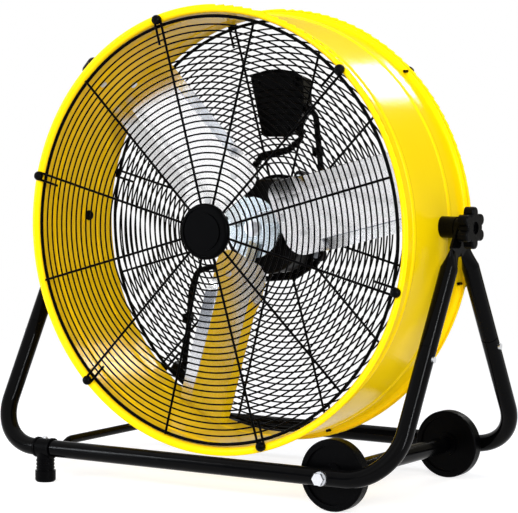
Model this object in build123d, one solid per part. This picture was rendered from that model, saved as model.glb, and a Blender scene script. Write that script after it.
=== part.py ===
from build123d import *
import math
import os

os.makedirs("parts", exist_ok=True)

# A drum fan on a tubular stand. Millimetres. The floor is z = 0, the air blows towards -Y,
# +X is the side with the two wheels, and the pivots of the drum lie on the line y = 0.

# ---- stand ----------------------------------------------------------------------------
TUBE_DIAMETER = 25.4
TUBE_WALL = 1.5
RAIL_HEIGHT = 50.8            # centre of the bottom rails, which is also the wheel axle
RAIL_SPREAD = 194.0           # each rail lies this far in front of or behind the pivots
LEG_PLANE_GAP = 27.0          # from the shell to the plane of the legs on each side
PIVOT_HEIGHT = 390.0
CORNER_RADIUS = 75.0
LEG_JOINT = 190.0             # from the pivot down the leg to the seam
RAIL_JOINT_INSET = 170.0      # from the plane of the legs to the seams in the bottom rails
SPIGOT_LENGTH = 40.0
SPIGOT_CLEARANCE = 0.05
SEAM_GROOVE = 0.8              # each tube end is turned down this far at a seam
FLAT_LENGTH = 40.0            # flattened end of an upper leg, measured from the pivot
FLAT_THICKNESS = 4.0
LAP_CLEARANCE = 0.05
FLAT_HALF_WIDTH = 14.0
TAPER_LENGTH = 26.0
BRACE_DIAMETER = 12.7
BRACE_INSET = 117.0           # from the plane of the left legs
BRACE_HEIGHT = 60.5
BRACE_BEND = 25.0
BRACE_BEND_Y = 163.0
BRACE_END_Y = 190.0
BRACE_END_HEIGHT = 46.3
JOINT_SCREW_DROP = 15.0
SCREW_HEAD_RADIUS = 4.5
SCREW_HEAD_HEIGHT = 2.6
SCREW_RADIUS = 2.0

# ---- feet -----------------------------------------------------------------------------
FOOT_INSET = 95.0             # from the plane of the left legs
FOOT_BASE_DIAMETER = 31.0
FOOT_BASE_HEIGHT = 17.0
FOOT_BASE_ROUND = 4.0
FOOT_NECK_DIAMETER = 26.0
FOOT_RIB_COUNT = 3
FOOT_RIB_PITCH = 5.5
FOOT_RIB_WIDTH = 2.4
FOOT_RIB_RISE = 0.8
FOOT_COLLAR_LENGTH = 30.0
FOOT_COLLAR_WALL = 1.5
FOOT_RIM_WIDTH = 3.5
FOOT_RIM_RISE = 1.1

# ---- wheels and axle --------------------------------------------------------------------
WHEEL_DIAMETER = 101.6
WHEEL_WIDTH = 20.0
WHEEL_INSET = 105.0           # from the plane of the right legs
WHEEL_BOSS_DIAMETER = 21.0
WHEEL_BOSS_LENGTH = 17.0
WHEEL_RECESS = 3.0
AXLE_DIAMETER = 10.0
AXLE_RUNNING_FIT = 0.06
AXLE_HEX = 16.0
AXLE_HEAD_HEIGHT = 6.5
AXLE_NUT_HEIGHT = 6.0
AXLE_WASHER_THICKNESS = 2.6
AXLE_WASHER_DIAMETER = 20.0

# ---- drum shell -------------------------------------------------------------------------
DRUM_DROP = 10.0              # centre line of the drum, below the pivots
SHELL_DIAMETER = 636.0
SHELL_WALL = 1.4
CREST_FRONT = -123.2          # the faces of the two flared lips
CREST_REAR = 69.6
FLARE_RADIUS = 6.5            # hollow side of the bend into each lip
LIP_WIDTH = 11.0              # from the shell's outside to the lip's edge
HEM_RADIUS = 1.9              # the lip's edge is rolled round
BEAD_WIDTH = 10.0
BEAD_RISE = 2.0
BEAD_PLACES = (-84.0, 21.5)

# ---- guards -----------------------------------------------------------------------------
SPOKE_DIAMETER = 3.6
RING_DIAMETER = 2.5
RING_SIDES = 12
OUTER_RING_DIAMETER = 5.0
OUTER_RING_INSET = 6.0        # from the shell's outside
LAST_RING_INSET = 18.0
FIRST_RING_RADIUS = 49.4
RING_COUNT = 28
FRONT_DISH = 4.5              # the front guard stands this far forward at its middle
SPOKE_COUNT = 12
SPOKE_TURN = 14.5             # degrees clockwise from the top, seen from the front
EYELET_COUNT = 6
EYELET_SCREW_STANDOFF = 3.1   # from the shell's outside to the line of a guard screw
EYELET_RADIUS = 5.2
EYELET_RETURN = 37.0
SPOKE_END_INSET = 5.0         # from the shell's outside
SPOKE_INNER_RADIUS = 30.0
WELD_GAP = 0.05
CENTRE_DISC_RADIUS = 41.0
CENTRE_DISC_THICKNESS = 8.0
CENTRE_DISC_RIM = 5.0
CENTRE_DISC_STEP_RADIUS = 27.0
CENTRE_DISC_STEP = 1.6
REAR_RING_START = 95.0        # the rear guard is open inside this radius, round the motor
REAR_SPOKE_START = 74.0
CAP_RADIUS = 7.2
CAP_STANDOFF = 2.5            # centre of the cap's ball, in front of the wires' centre
GUARD_SCREW_RADIUS = 2.2
GUARD_SCREW_TAIL = 11.0       # the screws are self-tapping; their tails reach past the lip

# ---- motor ------------------------------------------------------------------------------
MOTOR_RADIUS = 72.0
MOTOR_WALL = 3.0
MOTOR_FRONT = 22.0            # y of the front bell's face
MOTOR_BELL_DEPTH = 13.0
MOTOR_REAR = 108.0
MOTOR_BELL_ROUND = 6.0
EAR_ANGLE = 29.5              # degrees clockwise from the top to the first ear
EAR_COUNT = 4
EAR_SCREW_RADIUS = 84.0
EAR_WIDTH = 20.0
EAR_THICKNESS = 9.0
PLATE_WIDTH = 6.0
PLATE_LUG_RADIUS = 10.0
PLATE_THICKNESS = 3.0
PLATE_BORE_CLEARANCE = 0.4
SHAFT_RADIUS = 8.0
BEARING_OUTER_RADIUS = 20.0
BEARING_WIDTH = 9.0
STATOR_INNER_RADIUS = 40.0
STATOR_LENGTH = 44.0
ROTOR_AIR_GAP = 0.6
RUNNING_FIT = 0.05

# ---- rotor ------------------------------------------------------------------------------
HUB_FRONT = -8.0              # y of the front face of the spider
HUB_PLATE_RADIUS = 46.0
HUB_PLATE_THICKNESS = 6.0
HUB_BOSS_RADIUS = 22.0
HUB_BOSS_END = 14.0
BLADE_COUNT = 3
BLADE_TURN = 14.0             # degrees above +X of the first blade, seen from the front
BLADE_PITCH = 18.0
BLADE_ROOT = 47.0
BLADE_TIP_GAP = 16.6          # from the blade tips to the inside of the shell
BLADE_THICKNESS = 1.8
BLADE_ROOT_HALF_WIDTH = 60.0
BLADE_ROOT_ROUND = 27.0
BLADE_TIP_ROUND = 12.0
BEND_START = 98.0             # the edge flanges fade in between these two radii
BEND_FULL = 118.0
LEADING_BEND = -43.0          # across the blade, where the leading flange starts
LEADING_FLANGE = 22.0
LEADING_ANGLE = 26.0
TRAILING_BEND = 34.0
TRAILING_FLANGE = 25.0
TRAILING_ANGLE = 14.0
BEND_ROUND = 8.0
FLAT_BEND = 1.5               # the nearly flat root keeps the same edges as the bent part
ARM_START = 20.0
ARM_HALF_WIDTH = 20.0
PAD_START = 62.0
PAD_END = 94.0
PAD_HALF_WIDTH = 41.0
PAD_THICKNESS = 3.0
RIVET_PLACES = ((56.5, 4.0), (79.0, 28.5), (82.0, -27.0))
RIVET_RADIUS = 2.4
RIVET_HEAD_RADIUS = 4.8
RIVET_HEAD_HEIGHT = 2.0
HUB_BOLT_HEX = 17.0
HUB_BOLT_RADIUS = 4.0
HUB_BOLT_HEIGHT = 7.0
HUB_WASHER_RADIUS = 14.0
HUB_WASHER_THICKNESS = 1.6

# ---- pivots and clamp knobs ---------------------------------------------------------------
PIVOT_BOLT_RADIUS = 5.0
PIVOT_HEAD_RADIUS = 8.0
PIVOT_HEAD_HEIGHT = 5.0
PIVOT_HOLE_CLEARANCE = 0.1
COLLAR_RADIUS = 15.5
FRICTION_WASHER_THICKNESS = 2.0
BACKING_PLATE_RADIUS = 13.0
BACKING_PLATE_THICKNESS = 2.0
KNOB_RADIUS = 30.0
KNOB_LOBE_RADIUS = 8.5
KNOB_LOBE_COUNT = 6
KNOB_THICKNESS = 15.0
KNOB_BOSS_LENGTH = 3.5
KNOB_BOSS_RADIUS = 14.0
KNOB_GAP = 0.3
KNOB_RECESS_RADIUS = 9.0
KNOB_RECESS_DEPTH = 3.0
THREAD_CLEARANCE = 0.1

# ---- carry handle -------------------------------------------------------------------------
HANDLE_CLOCK = -47.0          # degrees clockwise from the top
HANDLE_END_GAP = 0.75         # from each end of the handle to the bead beside it
HANDLE_RISE = 48.0
HANDLE_WIDTH = 26.0
HANDLE_GRIP = 15.0
HANDLE_CORNER = 20.0

# ---- control box --------------------------------------------------------------------------
# Places on the box are from its middle: across, then up.
BOX_MIDDLE_X = -8.0
BOX_DROP = 130.0              # from the top of the shell down to the middle of the box
BOX_OUTLINE = ((-46.5, 39.0), (-24.0, -53.0), (26.0, -53.0), (49.0, -14.0), (47.5, 39.0))
BOX_CROWN = (0.0, 50.0)
BOX_CORNER = 7.0
BOX_PLATE_THICKNESS = 2.5
BOX_DEPTH = 36.0
BOX_POST_RADIUS = 5.5
BOX_WALL = 2.5
BOX_DRAFT = 12.0
BOX_SCREW_CLOCKS = (-9.8, 6.1)          # degrees clockwise from the top
BOX_SCREW_HEIGHTS = (30.0, -38.0)       # roughly; each goes in the nearest gap between rings
BOX_SCREW_RADIUS = 3.6
BOX_SCREW_HEIGHT = 2.0
BOX_CLAMP_THICKNESS = 1.8
BOX_CLAMP_HEIGHT = 14.0
GLAND_RADIUS = 6.0
GLAND_NUT_RADIUS = 8.0
GLAND_INSIDE = 5.0
GLAND_OUTSIDE = 12.0
GLAND_SETBACK = 12.2          # from the face of the box's plate to the lines of the glands
MOTOR_GLAND = (35.0, -38.0, -75.0)      # place, then the direction in degrees
SUPPLY_GLAND = (48.0, -8.0, -35.0)
MOTOR_LEAD_OUT = 16.5         # each lead runs straight out of its gland as far as this
SUPPLY_LEAD_OUT = 19.5
MOTOR_LEAD_LOOP = ((10.0, 0.612), (-39.0, 0.558), (-56.0, 0.457))   # x, then share of the box's height
MOTOR_LEAD_ENTRY = -39.2      # degrees clockwise from the top, where it goes into the motor
MOTOR_LEAD_SUNK = 0.8         # into the housing's wall
MOTOR_LEAD_BEND = 9.0
SUPPLY_LEAD_BEND = 16.0
MOTOR_LEAD_RADIUS = 4.2
RIB_RADIUS = 5.6              # the motor lead runs in a ribbed conduit
RIB_PITCH = 6.5
RIB_WIDTH = 3.4
RIB_START = 24.0
RIB_END = 12.0
SUPPLY_LEAD_RADIUS = 4.5
CLIP_SHARES = (0.115, 0.66, 0.862)      # where the clips sit, as shares of the supply lead
CLIP_WIDTH = 14.0
CLIP_LENGTH = 13.0
OUTLET_CLOCK = 218.0
OUTLET_INSET = 14.0           # from the shell's outside
OUTLET_SIZE = (38.0, 17.0, 16.0)
SPEED_KNOB_RADIUS = 16.0
SPEED_KNOB_HEIGHT = 16.0
SPEED_KNOB_GAP = 0.6
SWITCH_BODY_RADIUS = 13.0
SWITCH_BODY_LENGTH = 12.5
SWITCH_SHAFT_RADIUS = 3.0
SWITCH_SHAFT_LENGTH = 10.0
CAPACITOR_RADIUS = 10.0
CAPACITOR_LENGTH = 40.0
CAPACITOR_PLACE = (-16.0, -3.0)

# ---- worked out from the above --------------------------------------------------------------
DRUM_HEIGHT = PIVOT_HEIGHT - DRUM_DROP
TUBE_RADIUS = TUBE_DIAMETER / 2
TUBE_BORE_RADIUS = TUBE_RADIUS - TUBE_WALL
LEG_DROP = PIVOT_HEIGHT - RAIL_HEIGHT
LEG_REACH = math.hypot(LEG_DROP, RAIL_SPREAD)
SHELL_RADIUS = SHELL_DIAMETER / 2
SHELL_BORE = SHELL_RADIUS - SHELL_WALL
LEG_PLANE = SHELL_RADIUS + LEG_PLANE_GAP
RAIL_JOINT = LEG_PLANE - RAIL_JOINT_INSET
WHEEL_X = LEG_PLANE - WHEEL_INSET
FOOT_X = FOOT_INSET - LEG_PLANE
BRACE_X = BRACE_INSET - LEG_PLANE
BLADE_TIP_RADIUS = SHELL_BORE - BLADE_TIP_GAP
OUTER_RING_RADIUS = SHELL_RADIUS - OUTER_RING_INSET
LAST_RING_RADIUS = SHELL_RADIUS - LAST_RING_INSET
RING_PITCH = (LAST_RING_RADIUS - FIRST_RING_RADIUS) / (RING_COUNT - 1)
SPOKE_END_RADIUS = SHELL_RADIUS - SPOKE_END_INSET
SPOKE_RADIUS = SPOKE_DIAMETER / 2
EYELET_SCREW_RADIUS = SHELL_RADIUS + EYELET_SCREW_STANDOFF
FRONT_SLOPE = FRONT_DISH / EYELET_SCREW_RADIUS
BOX_MIDDLE = (BOX_MIDDLE_X, SHELL_RADIUS - BOX_DROP)
OUTLET_RADIUS = SHELL_RADIUS - OUTLET_INSET
SPOKE_FRONT = CREST_FRONT - WELD_GAP - SPOKE_RADIUS
SPOKE_REAR = CREST_REAR + WELD_GAP + SPOKE_RADIUS
RING_RADII = [FIRST_RING_RADIUS + RING_PITCH * step for step in range(RING_COUNT)]
PLATE_REAR = SPOKE_REAR - SPOKE_RADIUS - WELD_GAP
PLATE_FRONT = PLATE_REAR - PLATE_THICKNESS
HANDLE_CENTRE_Y = sum(BEAD_PLACES) / 2
HANDLE_LENGTH = BEAD_PLACES[1] - BEAD_PLACES[0] - BEAD_WIDTH - 2 * HANDLE_END_GAP
BLADE_SEAT = 0.02
PIVOT_GAP = 0.15
LEAD_Y = SPOKE_REAR + SPOKE_RADIUS + SUPPLY_LEAD_RADIUS + 0.1
CONDUIT_Y = SPOKE_REAR + SPOKE_RADIUS + RIB_RADIUS + 0.1
BOX_FRONT = PLATE_REAR + WELD_GAP
RING_FACE = PLATE_REAR - RING_DIAMETER - WELD_GAP
BOX_REAR = BOX_FRONT + BOX_PLATE_THICKNESS + BOX_DEPTH
GLAND_Y = BOX_FRONT + GLAND_SETBACK
STACK_OUTER = LEG_PLANE + FLAT_THICKNESS
STACK_INNER = LEG_PLANE - FLAT_THICKNESS
WASHER_INNER = STACK_OUTER + 2 * LAP_CLEARANCE + 0.05
KNOB_INNER = WASHER_INNER + FRICTION_WASHER_THICKNESS + KNOB_GAP
KNOB_OUTER = KNOB_INNER + KNOB_BOSS_LENGTH + KNOB_THICKNESS
WHEEL_Y = RAIL_SPREAD - TUBE_RADIUS - AXLE_WASHER_THICKNESS - WHEEL_WIDTH / 2 - 0.3


def save(node, shape):
    export_step(shape, f"parts/{node}.step")


def group(solids):
    """Separate solids that share one file."""
    return Compound(list(solids))


def drum_place(shape):
    """Lift a shape made round the drum's own centre line to where the drum hangs."""
    return shape.moved(Location((0, 0, DRUM_HEIGHT)))


def seam_groove(point, way):
    """Ring that turns the end of a tube down at a seam; way points along the tube."""
    plane = Plane(origin=point, z_dir=way)
    ring = Circle(TUBE_RADIUS + 1) - Circle(TUBE_RADIUS - SEAM_GROOVE)
    return extrude(plane * ring, amount=SEAM_GROOVE, both=True)


def rod(start, end, radius):
    """A round bar between two points."""
    start = Vector(*start)
    end = Vector(*end)
    way = end - start
    plane = Plane(origin=start, z_dir=way)
    return extrude(plane * Circle(radius), amount=way.length)


def pipe(start, end, outer, inner):
    return rod(start, end, outer) - rod(start, end, inner)


def y_disc(radius, y_low, y_high, x=0.0, z=0.0):
    """A round plate whose axis lies along Y."""
    return rod((x, y_low, z), (x, y_high, z), radius)


def y_ring(outer, inner, y_low, y_high, x=0.0, z=0.0):
    return y_disc(outer, y_low, y_high, x, z) - y_disc(inner, y_low, y_high, x, z)


def wire_ring(radius, wire_radius, y):
    """One closed ring of wire about the drum's centre line; its round is drawn with flats."""
    section = Pos(radius, y) * RegularPolygon(wire_radius, RING_SIDES)
    return revolve(section, axis=Axis.Y)


def clock_point(radius, degrees, y):
    """A point at a clock angle from the top, seen from the front."""
    angle = math.radians(degrees)
    return (radius * math.sin(angle), y, radius * math.cos(angle))


def hexagon(across_flats):
    return RegularPolygon(across_flats / 2, 6, major_radius=False)


# ---- stand ----------------------------------------------------------------------------
def leg_point(side, end, distance):
    """A point on a leg's centre line, measured from the pivot."""
    share = distance / LEG_REACH
    return Vector(side * LEG_PLANE, end * RAIL_SPREAD * share, PIVOT_HEIGHT - LEG_DROP * share)


def leg_plane(side, end, distance, shift=0.0):
    """The plane square to a leg, with its x axis along the leg plane's normal."""
    way = leg_point(side, end, LEG_REACH) - leg_point(side, end, 0)
    origin = leg_point(side, end, distance) + Vector(shift, 0, 0)
    return Plane(origin=origin, x_dir=(1, 0, 0), z_dir=way)


def upper_leg(side, end):
    """Tube with a flattened, rounded eye at the pivot and a necked lower end."""
    shift = side * end * -(FLAT_THICKNESS / 2 + LAP_CLEARANCE)
    flat_start = leg_plane(side, end, 0, shift)
    eye = extrude(
        Plane(origin=flat_start.origin, z_dir=(1, 0, 0)) * Circle(FLAT_HALF_WIDTH),
        amount=FLAT_THICKNESS / 2,
        both=True,
    )
    flat = extrude(flat_start * Rectangle(FLAT_THICKNESS, 2 * FLAT_HALF_WIDTH), amount=FLAT_LENGTH)
    wide = leg_plane(side, end, FLAT_LENGTH - 1.0, shift) * Ellipse(
        FLAT_THICKNESS / 2, FLAT_HALF_WIDTH
    )
    round_start = FLAT_LENGTH + TAPER_LENGTH
    circle = leg_plane(side, end, round_start) * Circle(TUBE_RADIUS)
    taper = loft([wide, circle])
    body = pipe(
        leg_point(side, end, round_start),
        leg_point(side, end, LEG_JOINT),
        TUBE_RADIUS,
        TUBE_BORE_RADIUS,
    )
    neck = pipe(
        leg_point(side, end, LEG_JOINT - 10),
        leg_point(side, end, LEG_JOINT + SPIGOT_LENGTH),
        TUBE_BORE_RADIUS - SPIGOT_CLEARANCE,
        TUBE_BORE_RADIUS - SPIGOT_CLEARANCE - TUBE_WALL,
    )
    neck_seat = pipe(
        leg_point(side, end, LEG_JOINT - 10),
        leg_point(side, end, LEG_JOINT),
        TUBE_BORE_RADIUS + 0.2,
        TUBE_BORE_RADIUS - SPIGOT_CLEARANCE - TUBE_WALL,
    )
    hole = rod(
        (side * (LEG_PLANE - 20), 0, PIVOT_HEIGHT),
        (side * (LEG_PLANE + 20), 0, PIVOT_HEIGHT),
        PIVOT_BOLT_RADIUS + PIVOT_HOLE_CLEARANCE,
    )
    leg = eye + flat + taper + body + neck + neck_seat - hole - joint_screw(side, end, 0.1)
    return leg - leg_seam(side, end)


def leg_seam(side, end):
    seam = leg_point(side, end, LEG_JOINT)
    return seam_groove(seam, leg_point(side, end, LEG_REACH) - seam)


def joint_screw(side, end, growth=0.0):
    """The screw that pins a leg seam, from the outer face of the tube."""
    place = leg_point(side, end, LEG_JOINT + JOINT_SCREW_DROP)
    face = place.X + side * TUBE_RADIUS
    tip = place.X + side * (TUBE_BORE_RADIUS - 8)
    shank = rod((tip, place.Y, place.Z), (face, place.Y, place.Z), SCREW_RADIUS + growth)
    top = face + side * SCREW_HEAD_HEIGHT
    head = rod((face - side * 0.4, place.Y, place.Z), (top, place.Y, place.Z), SCREW_HEAD_RADIUS + growth)
    return shank + head


def corner_tube(side, end):
    """Lower half of a leg, bent round into half of a bottom rail."""
    seam = leg_point(side, end, LEG_JOINT)
    corner = leg_point(side, end, LEG_REACH)
    rail_end = Vector(side * RAIL_JOINT, end * RAIL_SPREAD, RAIL_HEIGHT)
    path = FilletPolyline(seam, corner, rail_end, radius=CORNER_RADIUS)
    ring = leg_plane(side, end, LEG_JOINT) * (Circle(TUBE_RADIUS) - Circle(TUBE_BORE_RADIUS))
    tube = sweep(ring, path=path)
    tube -= joint_screw(side, end, 0.1) + leg_seam(side, end)
    if side > 0:
        tube -= y_disc(
            AXLE_DIAMETER / 2 + AXLE_RUNNING_FIT,
            -RAIL_SPREAD - 20,
            RAIL_SPREAD + 20,
            WHEEL_X,
            RAIL_HEIGHT,
        )
    else:
        tube -= foot_screw(end, 0.1)
    return tube


def rail(end):
    """Middle of a bottom rail, necked at both ends."""
    y = end * RAIL_SPREAD
    body = pipe(
        (-RAIL_JOINT, y, RAIL_HEIGHT), (RAIL_JOINT, y, RAIL_HEIGHT), TUBE_RADIUS, TUBE_BORE_RADIUS
    )
    reach = RAIL_JOINT + SPIGOT_LENGTH
    liner = pipe(
        (-reach, y, RAIL_HEIGHT),
        (reach, y, RAIL_HEIGHT),
        TUBE_BORE_RADIUS - SPIGOT_CLEARANCE,
        TUBE_BORE_RADIUS - SPIGOT_CLEARANCE - TUBE_WALL,
    )
    seat = pipe(
        (-RAIL_JOINT, y, RAIL_HEIGHT),
        (RAIL_JOINT, y, RAIL_HEIGHT),
        TUBE_BORE_RADIUS + 0.2,
        TUBE_BORE_RADIUS - SPIGOT_CLEARANCE - TUBE_WALL,
    )
    return body + liner + seat


def brace():
    """Thin rod between the rails, its ends bent down and cut to fit them."""
    path = FilletPolyline(
        (BRACE_X, -BRACE_END_Y, BRACE_END_HEIGHT),
        (BRACE_X, -BRACE_BEND_Y, BRACE_HEIGHT),
        (BRACE_X, BRACE_BEND_Y, BRACE_HEIGHT),
        (BRACE_X, BRACE_END_Y, BRACE_END_HEIGHT),
        radius=BRACE_BEND,
    )
    section = Plane(origin=path @ 0, z_dir=path % 0) * Circle(BRACE_DIAMETER / 2)
    bar = sweep(section, path=path)
    for end in (-1, 1):
        y = end * RAIL_SPREAD
        bar -= rod((BRACE_X - 40, y, RAIL_HEIGHT), (BRACE_X + 40, y, RAIL_HEIGHT), TUBE_RADIUS + 0.05)
    return bar


def foot_screw(end, growth=0.0):
    y = end * RAIL_SPREAD
    top = RAIL_HEIGHT + TUBE_RADIUS + FOOT_COLLAR_WALL
    shank = rod((FOOT_X, y, RAIL_HEIGHT + 4), (FOOT_X, y, top), SCREW_RADIUS + growth)
    head = rod((FOOT_X, y, top), (FOOT_X, y, top + 2.4), 3.6 + growth)
    return shank + head


def foot(end):
    """Rubber foot with a ribbed neck and a thin collar that wraps the rail."""
    y = end * RAIL_SPREAD
    base = extrude(Pos(FOOT_X, y, 0) * Circle(FOOT_BASE_DIAMETER / 2), amount=FOOT_BASE_HEIGHT)
    base = fillet(base.edges().group_by(Axis.Z)[0], FOOT_BASE_ROUND)
    neck = extrude(Pos(FOOT_X, y, 0) * Circle(FOOT_NECK_DIAMETER / 2), amount=RAIL_HEIGHT - 4)
    for step in range(FOOT_RIB_COUNT):
        rib = Pos(FOOT_X, y, FOOT_BASE_HEIGHT + FOOT_RIB_PITCH * (step + 0.5))
        neck += extrude(rib * Circle(FOOT_NECK_DIAMETER / 2 + FOOT_RIB_RISE), amount=FOOT_RIB_WIDTH)
    outer = TUBE_RADIUS + FOOT_COLLAR_WALL
    low = FOOT_X - FOOT_COLLAR_LENGTH / 2
    high = FOOT_X + FOOT_COLLAR_LENGTH / 2
    collar = rod((low, y, RAIL_HEIGHT), (high, y, RAIL_HEIGHT), outer)
    for start in (low, high - FOOT_RIM_WIDTH):
        collar += rod(
            (start, y, RAIL_HEIGHT), (start + FOOT_RIM_WIDTH, y, RAIL_HEIGHT), outer + FOOT_RIM_RISE
        )
    body = base + neck + collar
    body -= rod((low - 5, y, RAIL_HEIGHT), (high + 5, y, RAIL_HEIGHT), TUBE_RADIUS + 0.05)
    return body - foot_screw(end, 0.05)


# ---- wheels and axle --------------------------------------------------------------------
def wheel(end):
    """Solid wheel with a dished face and a long hub boss on its inner side."""
    y = end * WHEEL_Y
    low = y - WHEEL_WIDTH / 2
    high = y + WHEEL_WIDTH / 2
    tyre = y_disc(WHEEL_DIAMETER / 2, low, high, WHEEL_X, RAIL_HEIGHT)
    tyre = fillet(tyre.edges(), 3.0)
    dish = y_ring(WHEEL_DIAMETER / 2 - 9, 17.0, high - WHEEL_RECESS, high, WHEEL_X, RAIL_HEIGHT)
    dish += y_ring(WHEEL_DIAMETER / 2 - 9, 17.0, low, low + WHEEL_RECESS, WHEEL_X, RAIL_HEIGHT)
    inner = y - end * WHEEL_WIDTH / 2
    boss_end = inner - end * WHEEL_BOSS_LENGTH
    boss = y_disc(
        WHEEL_BOSS_DIAMETER / 2, min(inner, boss_end), max(inner, boss_end), WHEEL_X, RAIL_HEIGHT
    )
    reach = WHEEL_WIDTH + WHEEL_BOSS_LENGTH
    bore = y_disc(
        AXLE_DIAMETER / 2 + AXLE_RUNNING_FIT, y - reach, y + reach, WHEEL_X, RAIL_HEIGHT
    )
    return tyre - dish + boss - bore


def axle_rod():
    """Long bolt through both rails, with its hex head at the front."""
    head_face = -RAIL_SPREAD - TUBE_RADIUS - AXLE_WASHER_THICKNESS
    tail = AXLE_HEAD_HEIGHT - head_face
    shank = y_disc(AXLE_DIAMETER / 2, head_face, tail, WHEEL_X, RAIL_HEIGHT)
    plane = Plane(origin=(WHEEL_X, head_face, RAIL_HEIGHT), x_dir=(1, 0, 0), z_dir=(0, -1, 0))
    head = extrude(plane * hexagon(AXLE_HEX), amount=AXLE_HEAD_HEIGHT)
    return shank + head


def axle_nut():
    face = RAIL_SPREAD + TUBE_RADIUS + AXLE_WASHER_THICKNESS
    plane = Plane(origin=(WHEEL_X, face, RAIL_HEIGHT), x_dir=(1, 0, 0), z_dir=(0, 1, 0))
    nut = extrude(plane * hexagon(AXLE_HEX), amount=AXLE_NUT_HEIGHT)
    return nut - y_disc(AXLE_DIAMETER / 2 + 0.02, face - 1, face + 20, WHEEL_X, RAIL_HEIGHT)


def axle_washers():
    """Washers outside the rails and between each rail and its wheel, dished to fit the tube."""
    washers = []
    for end in (-1, 1):
        near = RAIL_SPREAD - TUBE_RADIUS - AXLE_WASHER_THICKNESS
        far = RAIL_SPREAD + TUBE_RADIUS + AXLE_WASHER_THICKNESS
        for low, high in ((near, near + 6), (far - 6, far)):
            pair = sorted((end * low, end * high))
            ring = y_ring(
                AXLE_WASHER_DIAMETER / 2,
                AXLE_DIAMETER / 2 + AXLE_RUNNING_FIT,
                pair[0],
                pair[1],
                WHEEL_X,
                RAIL_HEIGHT,
            )
            y = end * RAIL_SPREAD
            ring -= rod(
                (WHEEL_X - 40, y, RAIL_HEIGHT), (WHEEL_X + 40, y, RAIL_HEIGHT), TUBE_RADIUS + 0.05
            )
            washers.append(ring)
    return washers


def axle_tube():
    """Tube over the axle that keeps the two wheels apart."""
    half = WHEEL_Y - WHEEL_WIDTH / 2 - WHEEL_BOSS_LENGTH - 0.3
    return y_ring(
        TUBE_RADIUS, AXLE_DIAMETER / 2 + AXLE_RUNNING_FIT, -half, half, WHEEL_X, RAIL_HEIGHT
    )


# ---- drum shell -------------------------------------------------------------------------
def lip_section(crest, way):
    """The sheet's end bent outwards into a flat lip with a rolled edge; way points off the drum."""
    centre_x = SHELL_RADIUS + FLARE_RADIUS
    depth = FLARE_RADIUS + SHELL_WALL
    centre_y = crest - way * depth
    ring = Circle(depth) - Circle(FLARE_RADIUS)
    quarter = Pos(-depth / 2, way * depth / 2) * Rectangle(depth, depth)
    bend = Pos(centre_x, centre_y) * (ring & quarter)
    hem_x = SHELL_RADIUS + LIP_WIDTH - HEM_RADIUS
    flat_width = hem_x - centre_x
    flat = Pos(centre_x + flat_width / 2, crest - way * SHELL_WALL / 2)
    flat *= Rectangle(flat_width, SHELL_WALL)
    return bend + flat + Pos(hem_x, crest - way * HEM_RADIUS) * Circle(HEM_RADIUS)


def bead_section(y):
    """A raised bead rolled into the sheet."""
    circle_radius = (BEAD_WIDTH**2 / 4 + BEAD_RISE**2) / (2 * BEAD_RISE)
    centre_x = SHELL_RADIUS + BEAD_RISE - circle_radius
    bump = Pos(centre_x, y) * Circle(circle_radius)
    window = Pos(SHELL_RADIUS + BEAD_RISE, y) * Rectangle(2 * (BEAD_RISE + SHELL_WALL), BEAD_WIDTH)
    groove = Pos(centre_x - SHELL_WALL, y) * Circle(circle_radius)
    return (bump & window), groove


def drum_shell():
    """Rolled sheet with flared lips and two raised beads, holed for the pivots and guards."""
    wall_x = SHELL_RADIUS - SHELL_WALL / 2
    length = CREST_REAR - CREST_FRONT - 2 * (FLARE_RADIUS + SHELL_WALL)
    middle = (CREST_REAR + CREST_FRONT) / 2
    section = Pos(wall_x, middle) * Rectangle(SHELL_WALL, length)
    section += lip_section(CREST_FRONT, -1)
    section += lip_section(CREST_REAR, 1)
    for y in BEAD_PLACES:
        bump, groove = bead_section(y)
        section += bump
        section -= groove
    shell = revolve(section, axis=Axis.Y)
    for side in (-1, 1):
        shell -= rod(
            (side * (SHELL_BORE - 10), 0, DRUM_DROP),
            (side * (SHELL_RADIUS + 10), 0, DRUM_DROP),
            PIVOT_BOLT_RADIUS + PIVOT_HOLE_CLEARANCE,
        )
    for degrees in eyelet_angles():
        for spoke_y, way in ((SPOKE_FRONT, -1), (SPOKE_REAR, 1)):
            shell -= guard_screw(degrees, spoke_y, way, 0.1)
    for way in (-1, 1):
        shell -= handle_screw(way, 0.05).rotate(Axis.Y, HANDLE_CLOCK)
    return drum_place(shell)


# ---- guards -----------------------------------------------------------------------------
def spoke_angles():
    return [SPOKE_TURN + 360 / SPOKE_COUNT * step for step in range(SPOKE_COUNT)]


def eyelet_angles():
    return spoke_angles()[1 :: SPOKE_COUNT // EYELET_COUNT]


def eyelet_point(degrees, y):
    """Where a guard screw stands: one wire bend to the left of its spoke."""
    shift = math.degrees(math.asin(EYELET_RADIUS / EYELET_SCREW_RADIUS))
    return clock_point(EYELET_SCREW_RADIUS, degrees - shift, y)


def spoke_depth(y, slope, radius):
    """y of a spoke's centre at a radius; a dished guard's spokes slope to y at the screws."""
    return y - slope * (EYELET_SCREW_RADIUS - radius)


def eyelet_spoke(degrees, y, slope, inner, radius=SPOKE_RADIUS):
    """A spoke whose wire runs out, bends round the guard screw and comes part of the way back."""
    angle = math.radians(degrees)
    outward = Vector(math.sin(angle), slope, math.cos(angle)).normalized()
    across = Vector(math.cos(angle), 0, -math.sin(angle)) * EYELET_RADIUS
    centre = Vector(*eyelet_point(degrees, y))
    turn = centre + across
    start = turn - outward * (EYELET_SCREW_RADIUS - inner)
    back = centre - across
    path = Line(start, turn)
    path += ThreePointArc(turn, centre + outward * EYELET_RADIUS, back)
    path += Line(back, back - outward * EYELET_RETURN)
    return sweep(Plane(origin=start, z_dir=outward) * Circle(radius), path=path)


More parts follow.
